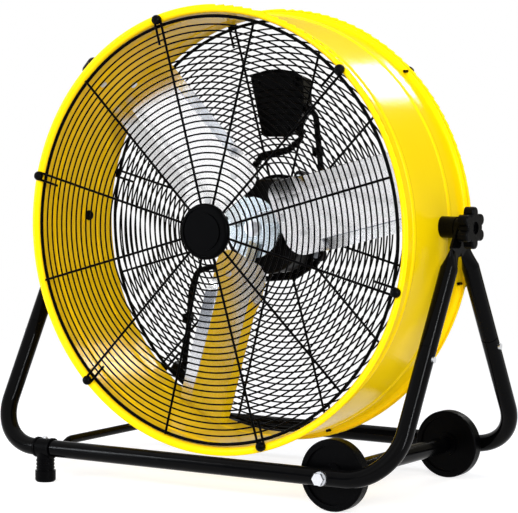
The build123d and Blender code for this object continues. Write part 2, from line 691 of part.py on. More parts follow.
def guard_spokes(y, slope, inner):
    """Twelve spokes, every second one with an eyelet."""
    spokes = []
    eyelets = eyelet_angles()
    for degrees in spoke_angles():
        if degrees in eyelets:
            spokes.append(eyelet_spoke(degrees, y, slope, inner))
        else:
            start = clock_point(inner, degrees, spoke_depth(y, slope, inner))
            stop = clock_point(
                SPOKE_END_RADIUS, degrees, spoke_depth(y, slope, SPOKE_END_RADIUS)
            )
            spokes.append(rod(start, stop, SPOKE_RADIUS))
    return drum_place(group(spokes))


def guard_rings(spoke_y, slope, way, radii):
    """Thin rings and a thick outer ring, welded inside the spokes; way points off the drum."""
    sizes = [(radius, RING_DIAMETER / 2) for radius in radii]
    sizes.append((OUTER_RING_RADIUS, OUTER_RING_DIAMETER / 2))
    rings = []
    for radius, wire_radius in sizes:
        drop = SPOKE_RADIUS + WELD_GAP + wire_radius
        rings.append(wire_ring(radius, wire_radius, spoke_depth(spoke_y, slope, radius) - way * drop))
    return drum_place(group(rings))


def centre_disc():
    """Pressed disc on the front of the spokes, with a rim and a raised middle."""
    seat = spoke_depth(SPOKE_FRONT, FRONT_SLOPE, SPOKE_INNER_RADIUS)
    back = seat - SPOKE_RADIUS - WELD_GAP
    front = back - CENTRE_DISC_THICKNESS
    disc = y_disc(CENTRE_DISC_RADIUS, front, back)
    disc = fillet(disc.edges().group_by(Axis.Y)[0], CENTRE_DISC_THICKNESS / 2)
    disc -= y_ring(
        CENTRE_DISC_RADIUS - CENTRE_DISC_RIM,
        CENTRE_DISC_STEP_RADIUS,
        front,
        front + CENTRE_DISC_STEP,
    )
    return drum_place(disc)


def guard_screw(degrees, spoke_y, way, growth=0.0):
    """Self-tapping screw from inside the cap, through the eyelet and the lip."""
    start = eyelet_point(degrees, spoke_y + way * SPOKE_RADIUS * 2)
    stop = eyelet_point(degrees, spoke_y - way * (SPOKE_RADIUS + WELD_GAP + GUARD_SCREW_TAIL))
    return rod(start, stop, GUARD_SCREW_RADIUS + growth)


def guard_caps(spoke_y, slope, way):
    """Round plastic caps over the guard screws, grooved for the eyelet wires that they grip."""
    caps = []
    for degrees in eyelet_angles():
        place = eyelet_point(degrees, spoke_y + way * CAP_STANDOFF)
        trim = eyelet_point(degrees, spoke_y - way * CAP_RADIUS)
        ball = Pos(*place) * Sphere(CAP_RADIUS)
        ball -= Pos(*trim) * Box(4 * CAP_RADIUS, 2 * CAP_RADIUS, 4 * CAP_RADIUS)
        ball -= eyelet_spoke(degrees, spoke_y, slope, SHELL_BORE - CAP_RADIUS, SPOKE_RADIUS + 0.05)
        caps.append(drum_place(ball - guard_screw(degrees, spoke_y, way, 0.05)))
    return caps


def guard_screws(spoke_y, way):
    return [drum_place(guard_screw(degrees, spoke_y, way)) for degrees in eyelet_angles()]


# ---- motor ------------------------------------------------------------------------------
def ear_angles():
    return [EAR_ANGLE + 360 / EAR_COUNT * step for step in range(EAR_COUNT)]


def ear_hole(degrees):
    start = clock_point(EAR_SCREW_RADIUS, degrees, PLATE_FRONT - 2 * EAR_THICKNESS)
    stop = clock_point(EAR_SCREW_RADIUS, degrees, PLATE_REAR + 1)
    return rod(start, stop, SCREW_RADIUS + 1.0)


def motor_plate():
    """Steel ring with four lugs, welded to the rear spokes, which carries the motor by its ears."""
    ring = y_disc(MOTOR_RADIUS + PLATE_WIDTH, PLATE_FRONT, PLATE_REAR)
    for degrees in ear_angles():
        middle = clock_point(EAR_SCREW_RADIUS, degrees, 0)
        ring += y_disc(PLATE_LUG_RADIUS, PLATE_FRONT, PLATE_REAR, middle[0], middle[2])
    ring -= y_disc(MOTOR_RADIUS + PLATE_BORE_CLEARANCE, PLATE_FRONT - 1, PLATE_REAR + 1)
    for degrees in ear_angles():
        ring -= ear_hole(degrees)
    return drum_place(ring)


def motor_housing():
    """Steel can with four ears that bolt to the plate."""
    can = y_ring(
        MOTOR_RADIUS,
        MOTOR_RADIUS - MOTOR_WALL,
        MOTOR_FRONT + MOTOR_BELL_DEPTH,
        MOTOR_REAR - MOTOR_BELL_DEPTH,
    )
    reach = EAR_SCREW_RADIUS + EAR_WIDTH / 2 - MOTOR_RADIUS + 2
    blank = Box(EAR_WIDTH, EAR_THICKNESS, reach)
    blank = fillet(blank.edges().filter_by(Axis.Y).group_by(Axis.Z)[-1], EAR_WIDTH / 3)
    blank = Pos(0, PLATE_FRONT - EAR_THICKNESS / 2 - 0.05, MOTOR_RADIUS - 2 + reach / 2) * blank
    for degrees in ear_angles():
        can += blank.rotate(Axis.Y, degrees)
    for degrees in ear_angles():
        can -= ear_hole(degrees)
    return drum_place(can) - motor_lead(0.05)


def ear_screws():
    screws = []
    for degrees in ear_angles():
        face = PLATE_FRONT - EAR_THICKNESS - 0.05
        start = clock_point(EAR_SCREW_RADIUS, degrees, face)
        stop = clock_point(EAR_SCREW_RADIUS, degrees, PLATE_REAR + 3.0)
        top = clock_point(EAR_SCREW_RADIUS, degrees, face - 3.2)
        screws.append(rod(start, stop, SCREW_RADIUS + 0.95) + rod(top, start, 5.6))
    return drum_place(group(screws))


def motor_bell(face, way):
    """End bell with a bearing pocket; way points from its outer face into the motor."""
    def span(start, stop):
        return sorted((face + way * start, face + way * stop))

    bell = y_disc(MOTOR_RADIUS, *span(0, MOTOR_BELL_DEPTH))
    outer_edge = bell.edges().group_by(Axis.Y)[0 if way > 0 else -1]
    bell = fillet(outer_edge, MOTOR_BELL_ROUND)
    bell -= y_disc(MOTOR_RADIUS - MOTOR_WALL, *span(4, MOTOR_BELL_DEPTH + 1))
    bell += y_disc(BEARING_OUTER_RADIUS + 4, *span(2, MOTOR_BELL_DEPTH))
    bell -= y_disc(BEARING_OUTER_RADIUS + 0.02, *span(4, MOTOR_BELL_DEPTH + 1))
    if way > 0:
        bell -= y_disc(SHAFT_RADIUS + 1.0, *span(-1, MOTOR_BELL_DEPTH))
    return drum_place(bell)


def motor_bearings():
    """Two ball bearings, drawn as their closed rings."""
    rings = []
    for face, way in ((MOTOR_FRONT, 1), (MOTOR_REAR, -1)):
        low, high = sorted((face + way * 4.05, face + way * (3.95 + BEARING_WIDTH)))
        rings.append(y_ring(BEARING_OUTER_RADIUS, SHAFT_RADIUS + RUNNING_FIT, low, high))
    return drum_place(group(rings))


def motor_core(outer, inner):
    middle = (MOTOR_FRONT + MOTOR_REAR) / 2
    return drum_place(
        y_ring(outer, inner, middle - STATOR_LENGTH / 2, middle + STATOR_LENGTH / 2)
    )


# ---- rotor ------------------------------------------------------------------------------
def motor_shaft():
    """Shaft from the rear bearing to the hub, tapped for the hub bolt."""
    bar = y_disc(SHAFT_RADIUS, HUB_FRONT + 0.3, MOTOR_REAR - 4.3)
    return drum_place(bar - y_disc(HUB_BOLT_RADIUS + 0.05, HUB_FRONT - 1, HUB_FRONT + 19))


def blade_profile(leading, trailing):
    """The blade's section for two bend angles; +x is across the blade, +y is to the front."""
    lead = math.radians(leading)
    trail = math.radians(trailing)
    line = FilletPolyline(
        (
            LEADING_BEND - LEADING_FLANGE * math.cos(lead),
            LEADING_FLANGE * math.sin(lead),
        ),
        (LEADING_BEND, 0),
        (TRAILING_BEND, 0),
        (
            TRAILING_BEND + TRAILING_FLANGE * math.cos(trail),
            TRAILING_FLANGE * math.sin(trail),
        ),
        radius=BEND_ROUND,
    )
    return make_face(offset(line, amount=BLADE_THICKNESS, side=Side.LEFT))


def across_plane(distance):
    """Plane square to a blade lying along +X: sketch x is across it, sketch y is to the front."""
    return Plane(origin=(distance, 0, 0), x_dir=(0, 0, 1), z_dir=(1, 0, 0))


def to_rotor(shape, index):
    """Pitch a shape made along +X, bring it to the hub and turn it to its place."""
    pitched = shape.rotate(Axis.X, BLADE_PITCH).moved(Location((0, HUB_FRONT, 0)))
    return drum_place(pitched.rotate(Axis.Y, -(BLADE_TURN + index * 360 / BLADE_COUNT)))


def rivet_hole(u, v):
    return rod((u, -20, v), (u, 20, v), RIVET_RADIUS + 0.05)


def blade(index):
    """Aluminium blade: flat root, edges folded to the front further out, rounded corners."""
    root = blade_profile(FLAT_BEND, FLAT_BEND)
    full = blade_profile(LEADING_ANGLE, TRAILING_ANGLE)
    sheet = extrude(across_plane(BLADE_ROOT) * root, amount=BEND_START - BLADE_ROOT)
    sheet += loft([across_plane(BEND_START) * root, across_plane(BEND_FULL) * full])
    sheet += extrude(across_plane(BEND_FULL) * full, amount=BLADE_TIP_RADIUS - BEND_FULL)
    length = BLADE_TIP_RADIUS - BLADE_ROOT
    outline = Pos((BLADE_TIP_RADIUS + BLADE_ROOT) / 2, 0, 0) * Box(
        length, 2 * BLADE_ROOT_HALF_WIDTH, 2 * BLADE_ROOT_HALF_WIDTH
    )
    outline = fillet(outline.edges().filter_by(Axis.Y).group_by(Axis.X)[0], BLADE_ROOT_ROUND)
    outline = fillet(outline.edges().filter_by(Axis.Y).group_by(Axis.X)[-1], BLADE_TIP_ROUND)
    sheet = sheet & outline
    sheet = sheet & y_disc(BLADE_TIP_RADIUS, -BLADE_ROOT_HALF_WIDTH, BLADE_ROOT_HALF_WIDTH)
    sheet = sheet.moved(Location((0, -BLADE_SEAT, 0)))
    for u, v in RIVET_PLACES:
        sheet -= rivet_hole(u, v)
    return to_rotor(sheet, index)


def hub_spider():
    """Pressed hub: round plate, boss on the shaft, and three pitched arms with blade pads."""
    rear = HUB_FRONT + HUB_PLATE_THICKNESS
    body = drum_place(y_disc(HUB_PLATE_RADIUS, HUB_FRONT, rear))
    body += drum_place(y_disc(HUB_BOSS_RADIUS, HUB_FRONT, HUB_BOSS_END))
    arm_length = PAD_START - ARM_START + 6
    pad_length = PAD_END - PAD_START
    for index in range(BLADE_COUNT):
        arm = Pos(ARM_START + arm_length / 2, PAD_THICKNESS / 2, 0) * Box(
            arm_length, PAD_THICKNESS, 2 * ARM_HALF_WIDTH
        )
        pad = Pos(PAD_START + pad_length / 2, PAD_THICKNESS / 2, 0) * Box(
            pad_length, PAD_THICKNESS, 2 * PAD_HALF_WIDTH
        )
        pad = fillet(pad.edges().filter_by(Axis.Y), 12.0)
        arm += pad
        for u, v in RIVET_PLACES:
            arm -= rivet_hole(u, v)
        body += to_rotor(arm, index)
    body -= drum_place(y_disc(SHAFT_RADIUS + 0.02, HUB_FRONT - 20, HUB_BOSS_END + 1))
    return body - drum_place(y_disc(HUB_WASHER_RADIUS + 2, HUB_FRONT - 20, HUB_FRONT))


def blade_rivets():
    rivets = []
    front = BLADE_SEAT + BLADE_THICKNESS + 0.02
    rear = PAD_THICKNESS + 0.02
    for index in range(BLADE_COUNT):
        for u, v in RIVET_PLACES:
            rivet = rod((u, -front, v), (u, rear, v), RIVET_RADIUS)
            rivet += rod((u, -front - RIVET_HEAD_HEIGHT, v), (u, -front, v), RIVET_HEAD_RADIUS)
            rivet += rod((u, rear, v), (u, rear + RIVET_HEAD_HEIGHT, v), RIVET_HEAD_RADIUS)
            rivets.append(to_rotor(rivet, index))
    return group(rivets)


def hub_bolt():
    """Hex bolt and washer that draw the hub on to the shaft."""
    bolt = y_disc(HUB_BOLT_RADIUS, HUB_FRONT - HUB_WASHER_THICKNESS, HUB_FRONT + 18)
    bolt += y_disc(HUB_WASHER_RADIUS, HUB_FRONT - HUB_WASHER_THICKNESS, HUB_FRONT)
    plane = Plane(
        origin=(0, HUB_FRONT - HUB_WASHER_THICKNESS, 0), x_dir=(1, 0, 0), z_dir=(0, -1, 0)
    )
    return drum_place(bolt + extrude(plane * hexagon(HUB_BOLT_HEX), amount=HUB_BOLT_HEIGHT))


# ---- pivots and clamp knobs ---------------------------------------------------------------
def pivot_rod(side, inner, outer, radius):
    return rod((side * inner, 0, PIVOT_HEIGHT), (side * outer, 0, PIVOT_HEIGHT), radius)


def pivot_pair(make):
    return group(make(side) for side in (-1, 1))


def pivot_collar(side):
    """Spacer between the curved shell and the lapped leg ends."""
    tube = pivot_rod(side, SHELL_RADIUS - 15, STACK_INNER - PIVOT_GAP, COLLAR_RADIUS)
    tube -= pivot_rod(side, SHELL_RADIUS - 20, STACK_OUTER, PIVOT_BOLT_RADIUS + PIVOT_HOLE_CLEARANCE)
    return tube - drum_place(y_disc(SHELL_RADIUS + 0.05, -40, 40))


def backing_plate(side):
    """Curved round plate inside the shell, under the bolt head."""
    face = SHELL_BORE - 0.02
    reach = 2 * BACKING_PLATE_RADIUS
    sheet = y_ring(face, face - BACKING_PLATE_THICKNESS, -reach, reach)
    plate = drum_place(sheet) & pivot_rod(side, SHELL_BORE - 40, SHELL_BORE + 5, BACKING_PLATE_RADIUS)
    return plate - pivot_rod(side, SHELL_BORE - 20, SHELL_BORE + 5, PIVOT_BOLT_RADIUS + 0.05)


def pivot_bolt(side):
    """Domed bolt from inside the drum out through the lapped legs into the knob."""
    inner = SHELL_BORE - BACKING_PLATE_THICKNESS
    seat = math.sqrt(inner**2 - (DRUM_DROP + PIVOT_HEAD_RADIUS) ** 2) - 0.1
    shank = pivot_rod(side, seat, KNOB_OUTER - KNOB_RECESS_DEPTH - 1, PIVOT_BOLT_RADIUS)
    head = pivot_rod(side, seat - PIVOT_HEAD_HEIGHT, seat, PIVOT_HEAD_RADIUS)
    rim = head.edges().group_by(Axis.X)[0 if side > 0 else -1]
    return shank + fillet(rim, 3.0)


def friction_washer(side):
    ring = pivot_rod(side, WASHER_INNER, WASHER_INNER + FRICTION_WASHER_THICKNESS, COLLAR_RADIUS)
    return ring - pivot_rod(side, STACK_OUTER - 5, KNOB_OUTER, PIVOT_BOLT_RADIUS + 0.05)


def clamp_knob(side):
    """Six-lobed star knob with a boss towards the leg."""
    lobe_centre = KNOB_RADIUS - KNOB_LOBE_RADIUS
    start = KNOB_OUTER - KNOB_THICKNESS
    plane = Plane(origin=(side * start, 0, PIVOT_HEIGHT), x_dir=(0, 1, 0), z_dir=(side, 0, 0))
    star = Circle(lobe_centre)
    for step in range(KNOB_LOBE_COUNT):
        angle = math.radians(30 + step * 360 / KNOB_LOBE_COUNT)
        star += Pos(lobe_centre * math.cos(angle), lobe_centre * math.sin(angle)) * Circle(
            KNOB_LOBE_RADIUS
        )
    body = extrude(plane * star, amount=KNOB_THICKNESS)
    body = fillet(body.edges().group_by(Axis.X)[-1 if side > 0 else 0], 2.5)
    body += pivot_rod(side, KNOB_INNER, start, KNOB_BOSS_RADIUS)
    body -= pivot_rod(side, KNOB_OUTER - KNOB_RECESS_DEPTH, KNOB_OUTER + 1, KNOB_RECESS_RADIUS)
    return body - pivot_rod(side, KNOB_INNER - 1, KNOB_OUTER, PIVOT_BOLT_RADIUS + THREAD_CLEARANCE)


# ---- carry handle -------------------------------------------------------------------------
def handle_screw(way, growth=0.0):
    y = HANDLE_CENTRE_Y + way * (HANDLE_LENGTH / 2 - HANDLE_GRIP / 2)
    shank = rod((0, y, SHELL_BORE - 0.1), (0, y, SHELL_RADIUS + 16), SCREW_RADIUS + 0.5 + growth)
    head_top = SHELL_BORE - 0.1
    return shank + rod((0, y, head_top - 3), (0, y, head_top), 5.0 + growth)


def handle_place(shape):
    return drum_place(shape.rotate(Axis.Y, HANDLE_CLOCK))


def carry_handle():
    """Moulded D-grip on two legs that sit on the curved shell, between its beads."""
    height = HANDLE_RISE + 10
    centre_z = SHELL_RADIUS + HANDLE_RISE - height / 2
    block = Pos(0, HANDLE_CENTRE_Y, centre_z) * Box(HANDLE_WIDTH, HANDLE_LENGTH, height)
    block = fillet(block.edges().filter_by(Axis.X).group_by(Axis.Z)[-1], HANDLE_CORNER)
    gap_height = height - HANDLE_GRIP + 10
    gap_z = SHELL_RADIUS + HANDLE_RISE - HANDLE_GRIP - gap_height / 2
    gap = Pos(0, HANDLE_CENTRE_Y, gap_z) * Box(
        3 * HANDLE_WIDTH, HANDLE_LENGTH - 2 * HANDLE_GRIP, gap_height
    )
    gap = fillet(gap.edges().filter_by(Axis.X).group_by(Axis.Z)[-1], HANDLE_CORNER / 2)
    grip = block - gap - y_disc(SHELL_RADIUS + 0.05, CREST_FRONT, CREST_REAR)
    grip = fillet(grip.faces().sort_by(Axis.Z)[-1].edges().filter_by(Axis.Y), 6.0)
    for way in (-1, 1):
        grip -= handle_screw(way, 0.05)
    return handle_place(grip)


# ---- control box --------------------------------------------------------------------------
def from_box(across, up):
    """x and height of a place on the box, about the drum's centre line."""
    return (BOX_MIDDLE[0] + across, BOX_MIDDLE[1] + up)


def box_sketch(shrink=0.0):
    """Outline of the box seen from the front, moved in by shrink."""
    first, *others = [from_box(*corner) for corner in BOX_OUTLINE]
    line = Polyline(first, *others) + ThreePointArc(others[-1], from_box(*BOX_CROWN), first)
    face = make_face(line)
    face = fillet(face.vertices(), BOX_CORNER)
    return offset(face, amount=-shrink) if shrink else face


def box_plane(y):
    """Sketch plane seen from the front; extruding from it goes to the rear."""
    return Plane(origin=(0, y, 0), x_dir=(1, 0, 0), z_dir=(0, -1, 0))


def box_screw_row(up):
    """Places of two box screws, in the gap between rings that is nearest to a height."""
    gap = round((BOX_MIDDLE[1] + up - FIRST_RING_RADIUS) / RING_PITCH - 0.5) + 0.5
    radius = FIRST_RING_RADIUS + RING_PITCH * gap
    return [clock_point(radius, clock, 0)[::2] for clock in BOX_SCREW_CLOCKS]


def box_screw_places():
    return [place for up in BOX_SCREW_HEIGHTS for place in box_screw_row(up)]


def box_screw(x, z, growth=0.0):
    """Screw from the clamp bar, between the rings, into a post of the cover."""
    face = RING_FACE - BOX_CLAMP_THICKNESS
    head = rod((x, face - BOX_SCREW_HEIGHT, z), (x, face, z), BOX_SCREW_RADIUS + growth)
    return head + rod((x, face, z), (x, BOX_FRONT + 14, z), SCREW_RADIUS + growth)


def box_screws(growth=0.0):
    return [box_screw(x, z, growth) for x, z in box_screw_places()]


def box_clamps():
    """Two flat bars in front of the rings; the box is drawn against them."""
    bars = []
    for first, second in [box_screw_row(up) for up in BOX_SCREW_HEIGHTS]:
        middle = (first[0] + second[0]) / 2
        height = (first[1] + second[1]) / 2
        width = second[0] - first[0] + BOX_CLAMP_HEIGHT
        bar = Pos(middle, RING_FACE - BOX_CLAMP_THICKNESS / 2, height) * Box(
            width, BOX_CLAMP_THICKNESS, BOX_CLAMP_HEIGHT
        )
        bar = fillet(bar.edges().filter_by(Axis.Y), 4.0)
        for screw in box_screws(0.05):
            bar -= screw
        bars.append(bar)
    return bars


def box_plate():
    plate = extrude(box_plane(BOX_FRONT) * box_sketch(), amount=-BOX_PLATE_THICKNESS)
    for screw in box_screws(0.05):
        plate -= screw
    return drum_place(plate)


def box_cover():
    """Moulded cover with sloping sides, screw posts, lead holes and the switch hole."""
    seat = BOX_FRONT + BOX_PLATE_THICKNESS + 0.05
    body = extrude(box_plane(seat) * box_sketch(), amount=-BOX_DEPTH, taper=BOX_DRAFT)
    hollow = extrude(
        box_plane(seat) * box_sketch(BOX_WALL), amount=-(BOX_DEPTH - BOX_WALL), taper=BOX_DRAFT
    )
    for x, z in box_screw_places():
        hollow -= rod((x, seat - 1, z), (x, seat + BOX_DEPTH, z), BOX_POST_RADIUS)
    body -= hollow
    for screw in box_screws(0.05):
        body -= screw
    for place in (MOTOR_GLAND, SUPPLY_GLAND):
        body -= gland_rod(place, -GLAND_INSIDE - 2, GLAND_OUTSIDE, GLAND_RADIUS + 0.05)
    x, z = BOX_MIDDLE
    body -= rod((x, seat + 10, z), (x, seat + BOX_DEPTH + 5, z), SWITCH_SHAFT_RADIUS + 1.5)
    return drum_place(body)


def rotary_switch():
    x, z = BOX_MIDDLE
    back = BOX_REAR - BOX_WALL
    body = rod((x, back - SWITCH_BODY_LENGTH, z), (x, back, z), SWITCH_BODY_RADIUS)
    return drum_place(body + rod((x, back, z), (x, BOX_REAR + SWITCH_SHAFT_LENGTH, z), SWITCH_SHAFT_RADIUS))


def speed_knob():
    """Pointer knob on the switch's shaft, behind the box."""
    x, z = BOX_MIDDLE
    low = BOX_REAR + SPEED_KNOB_GAP
    body = rod((x, low, z), (x, low + 4, z), SPEED_KNOB_RADIUS)
    body += rod((x, low + 4, z), (x, low + SPEED_KNOB_HEIGHT, z), SPEED_KNOB_RADIUS - 4)
    body = fillet(body.edges().group_by(Axis.Y)[-1], 1.5)
    rib = Pos(x, low + 2 + SPEED_KNOB_HEIGHT / 2, z + 5) * Box(5, SPEED_KNOB_HEIGHT, 20)
    body += rib
    body -= rod((x, low - 1, z), (x, low + SWITCH_SHAFT_LENGTH + 1, z), SWITCH_SHAFT_RADIUS + 0.05)
    return drum_place(body)


def capacitor():
    x, z = from_box(*CAPACITOR_PLACE)
    y = BOX_FRONT + BOX_PLATE_THICKNESS + CAPACITOR_RADIUS + 0.05
    half = CAPACITOR_LENGTH / 2
    return drum_place(rod((x, y, z - half), (x, y, z + half), CAPACITOR_RADIUS))


# ---- leads --------------------------------------------------------------------------------
def lead_path(points, bend):
    return FilletPolyline(*points, radius=bend)


def lead(path, radius):
    """A round lead along its route behind the rear guard."""
    return drum_place(sweep(Plane(origin=path @ 0, z_dir=path % 0) * Circle(radius), path=path))


def motor_lead_path():
    """Out of the box, round in a slack loop and into the motor's housing."""
    points = [gland_point(MOTOR_GLAND, 1.0), gland_point(MOTOR_GLAND, MOTOR_LEAD_OUT)]
    points += [(x, CONDUIT_Y, BOX_MIDDLE[1] * share) for x, share in MOTOR_LEAD_LOOP]
    way_in = math.radians(MOTOR_LEAD_ENTRY)
    depth = MOTOR_RADIUS - MOTOR_LEAD_SUNK
    points.append((depth * math.sin(way_in), CONDUIT_Y, depth * math.cos(way_in)))
    return lead_path(points, MOTOR_LEAD_BEND)


def motor_lead(growth=0.0):
    """Lead from the box down to the motor, without the ribs of its conduit."""
    return lead(motor_lead_path(), MOTOR_LEAD_RADIUS + growth)


def conduit():
    """The motor lead with the ribs of its conduit."""
    path = motor_lead_path()
    body = motor_lead()
    count = int((path.length - RIB_START - RIB_END) / RIB_PITCH)
    for step in range(count + 1):
        share = (RIB_START + step * RIB_PITCH) / path.length
        middle = path @ share
        way = path % share
        rib = rod(middle - way * RIB_WIDTH / 2, middle + way * RIB_WIDTH / 2, RIB_RADIUS)
        body += drum_place(rib)
    return body


def supply_lead_path():
    """Out of the box, round the motor, then across and down to the outlet on the rim."""
    near = ((67.0, 93.0), (76.5, 40.0), (78.5, -14.0), (62.5, -54.0), (22.0, -78.5), (-30.0, -84.0))
    shares = ((-0.434, -0.227), (-0.526, -0.257), (-0.563, -0.362), (-0.582, -0.556), (-0.613, -0.789))
    points = [gland_point(SUPPLY_GLAND, 0.8), gland_point(SUPPLY_GLAND, SUPPLY_LEAD_OUT)]
    points += [(x, LEAD_Y, z) for x, z in near]
    points += [(OUTLET_RADIUS * across, LEAD_Y, OUTLET_RADIUS * up) for across, up in shares]
    return lead_path(points, SUPPLY_LEAD_BEND)


def supply_lead(growth=0.0):
    return lead(supply_lead_path(), SUPPLY_LEAD_RADIUS + growth)


def gland_point(place, distance):
    """A point on the line of a gland, this far out from its place on the box."""
    across, up, turn = place
    angle = math.radians(turn)
    x, z = from_box(across, up)
    return Vector(x, GLAND_Y, z) + Vector(math.cos(angle), 0, math.sin(angle)) * distance


def gland_rod(place, start, stop, radius):
    return rod(gland_point(place, start), gland_point(place, stop), radius)


def lead_glands():
    """Strain reliefs where the two leads leave the box."""
    glands = []
    for place, wire in ((MOTOR_GLAND, motor_lead(0.05)), (SUPPLY_GLAND, supply_lead(0.05))):
        body = gland_rod(place, -GLAND_INSIDE, GLAND_OUTSIDE, GLAND_RADIUS)
        body += gland_rod(place, 5.5, 10.5, GLAND_NUT_RADIUS)
        glands.append(drum_place(body) - wire)
    return glands


def lead_clips():
    """Bridges that hold the leads down on the rings of the rear guard."""
    clips = []
    height = LEAD_Y + SUPPLY_LEAD_RADIUS + 1.8 - BOX_FRONT
    path = supply_lead_path()
    for share in CLIP_SHARES:
        x, _, z = path @ share
        way = path % share
        turn = math.degrees(math.atan2(way.X, way.Z))
        blank = Box(CLIP_WIDTH, height, CLIP_LENGTH)
        blank = fillet(blank.edges().filter_by(Axis.Z).group_by(Axis.Y)[-1], 5.0)
        blank = Pos(x, BOX_FRONT + height / 2, z) * blank.rotate(Axis.Y, turn)
        slot = Box(2 * SUPPLY_LEAD_RADIUS + 0.1, height, 2 * CLIP_LENGTH)
        slot = Pos(x, LEAD_Y - height / 2, z) * slot.rotate(Axis.Y, turn)
        clips.append(drum_place(blank - slot) - supply_lead(0.05))
    return clips


def outlet_gland():
    """Block on the rear rim where the supply lead leaves the fan."""
    blank = Box(*OUTLET_SIZE)
    blank = fillet(blank.edges().group_by(Axis.Y)[-1], 3.0)
    blank = Pos(0, BOX_FRONT + OUTLET_SIZE[1] / 2, OUTLET_RADIUS) * blank
    return drum_place(blank.rotate(Axis.Y, OUTLET_CLOCK)) - supply_lead(0.05)


# ---- every node ---------------------------------------------------------------------------
for end, word in ((-1, "front"), (1, "rear")):
    for side, hand in ((-1, "left"), (1, "right")):
        save(f"{hand}_upper_leg_{word}", upper_leg(side, end))
        save(f"{hand}_{word}_corner_tube", corner_tube(side, end))
    save(f"{word}_rail", rail(end))
    save(f"{word}_foot", foot(end))
    save(f"{word}_wheel", wheel(end))
save("left_brace", brace())
stand_screws = [joint_screw(side, end) for side in (-1, 1) for end in (-1, 1)]
stand_screws += [foot_screw(end) for end in (-1, 1)]
save("stand_screws", group(stand_screws))
save("axle_rod", axle_rod())
save("axle_nut_and_washers", group([axle_nut(), *axle_washers()]))
save("axle_tube", axle_tube())

save("drum_shell", drum_shell())
save("front_guard_spokes", guard_spokes(SPOKE_FRONT, FRONT_SLOPE, SPOKE_INNER_RADIUS))
save("front_guard_rings", guard_rings(SPOKE_FRONT, FRONT_SLOPE, -1, RING_RADII))
save("front_guard_disc", centre_disc())
save("rear_guard_spokes", guard_spokes(SPOKE_REAR, 0, REAR_SPOKE_START))
rear_radii = [radius for radius in RING_RADII if radius > REAR_RING_START]
save("rear_guard_rings", guard_rings(SPOKE_REAR, 0, 1, rear_radii))
caps = guard_caps(SPOKE_FRONT, FRONT_SLOPE, -1) + guard_caps(SPOKE_REAR, 0, 1)
save("guard_caps", group(caps))
save("guard_screws", group(guard_screws(SPOKE_FRONT, -1) + guard_screws(SPOKE_REAR, 1)))

save("motor_plate", motor_plate())
save("motor_housing", motor_housing())
save("motor_front_bell", motor_bell(MOTOR_FRONT, 1))
save("motor_rear_bell", motor_bell(MOTOR_REAR, -1))
save("motor_bearings", motor_bearings())
save("motor_stator", motor_core(MOTOR_RADIUS - MOTOR_WALL - 0.05, STATOR_INNER_RADIUS))
save("motor_ear_screws", ear_screws())

save("motor_shaft", motor_shaft())
save("motor_rotor_core", motor_core(STATOR_INNER_RADIUS - ROTOR_AIR_GAP, SHAFT_RADIUS + 0.02))
save("hub_spider", hub_spider())
save("hub_bolt", hub_bolt())
for index in range(BLADE_COUNT):
    save(f"blade_{index + 1}", blade(index))
save("blade_rivets", blade_rivets())

save("pivot_collars", pivot_pair(pivot_collar))
save("pivot_bolts", pivot_pair(pivot_bolt))
save("pivot_backing_plates", pivot_pair(backing_plate))
save("pivot_washers", pivot_pair(friction_washer))
save("left_clamp_knob", clamp_knob(-1))
save("right_clamp_knob", clamp_knob(1))
save("carry_handle", carry_handle())
save("handle_screws", handle_place(group(handle_screw(way) for way in (-1, 1))))

save("box_plate", box_plate())
save("box_cover", box_cover())
save("box_clamps_and_screws", drum_place(group(box_clamps() + box_screws())))
save("rotary_switch", rotary_switch())
save("speed_knob", speed_knob())
save("capacitor", capacitor())
save("motor_lead", conduit())
save("supply_lead", supply_lead())
save("lead_glands_and_clips", group(lead_glands() + lead_clips()))
save("outlet_gland", outlet_gland())
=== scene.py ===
import bpy
import bmesh
import math
from mathutils import Matrix, Vector

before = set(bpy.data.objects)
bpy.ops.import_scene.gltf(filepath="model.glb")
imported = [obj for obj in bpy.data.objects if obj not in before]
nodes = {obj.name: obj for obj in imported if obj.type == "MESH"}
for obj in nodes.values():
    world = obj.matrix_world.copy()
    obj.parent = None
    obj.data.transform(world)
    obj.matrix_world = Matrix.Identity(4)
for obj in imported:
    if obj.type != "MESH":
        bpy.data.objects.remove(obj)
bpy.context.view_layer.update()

# ---- camera -----------------------------------------------------------------------------
# The viewpoint of the photograph: the front of the drum is turned to the left, and the
# camera stands a little above the drum's centre.
VIEW_AZIMUTH = math.radians(32.8)
VIEW_RISE = math.radians(3.9)
VIEW_DISTANCE = 3.2693
FOCAL_LENGTH = 2175.8         # in pixels of the photograph
PHOTO_WIDTH = 518
SENSOR_WIDTH = 36.0
AIM_RIGHT = 0.0053
AIM_DOWN = 0.0438
DRUM_CENTRE = Vector((0.0, 0.0, 0.380))
back = Vector((
    math.sin(VIEW_AZIMUTH) * math.cos(VIEW_RISE),
    -math.cos(VIEW_AZIMUTH) * math.cos(VIEW_RISE),
    math.sin(VIEW_RISE),
))
right = Vector((math.cos(VIEW_AZIMUTH), math.sin(VIEW_AZIMUTH), 0.0))
up = back.cross(right)
aim = DRUM_CENTRE + right * AIM_RIGHT - up * AIM_DOWN
lens = bpy.data.cameras.new("view")
lens.sensor_width = SENSOR_WIDTH
lens.sensor_fit = "HORIZONTAL"
lens.lens = FOCAL_LENGTH / PHOTO_WIDTH * SENSOR_WIDTH
viewer = bpy.data.objects.new("view", lens)
viewer.matrix_world = Matrix.Translation(aim + back * VIEW_DISTANCE) @ Matrix(
    (right, up, back)
).transposed().to_4x4()
bpy.context.collection.objects.link(viewer)
bpy.context.scene.camera = viewer

